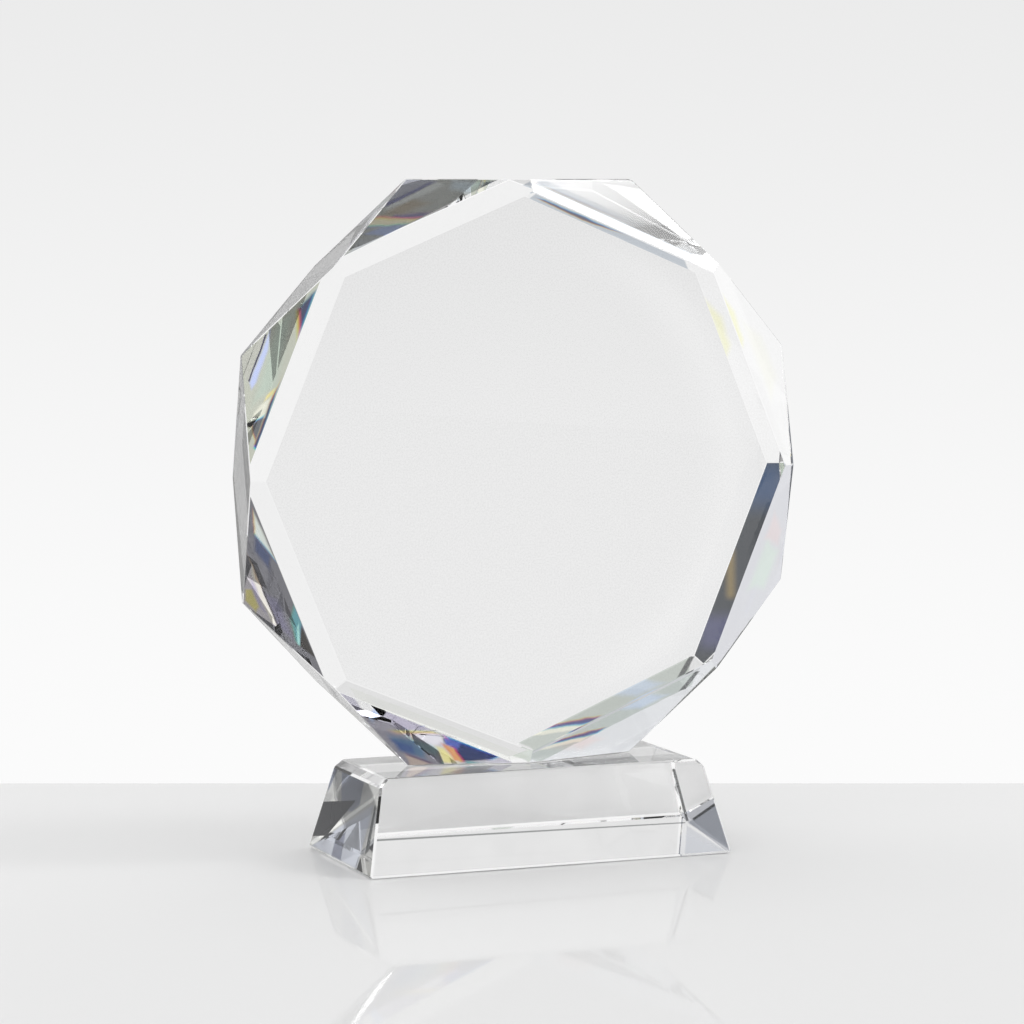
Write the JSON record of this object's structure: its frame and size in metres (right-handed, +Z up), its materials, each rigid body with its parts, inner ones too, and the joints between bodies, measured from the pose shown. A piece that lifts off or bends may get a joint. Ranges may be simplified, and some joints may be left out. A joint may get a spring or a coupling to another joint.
{
  "type": "crystal award",
  "caption": "Faceted octagon award of clear optical glass with flat front and back faces for engraving, bonded upright on a flared glass base.",
  "frame": {"origin": "middle of the base's underside, on the surface it stands on", "axes": "+Z up, +Y from the front table to the back table, +X along the base to the right as seen from the front"},
  "size_m": [0.1524, 0.0494, 0.1768],
  "materials": {
    "octagon_glass": "polished clear optical glass",
    "clear_adhesive": "clear cured adhesive film",
    "base_glass": "polished clear optical glass"
  },
  "bodies": {
    "root": {"octagon_crystal": "octagon_glass", "adhesive_bond": "clear_adhesive", "crystal_base": "base_glass"}
  },
  "joints": []
}
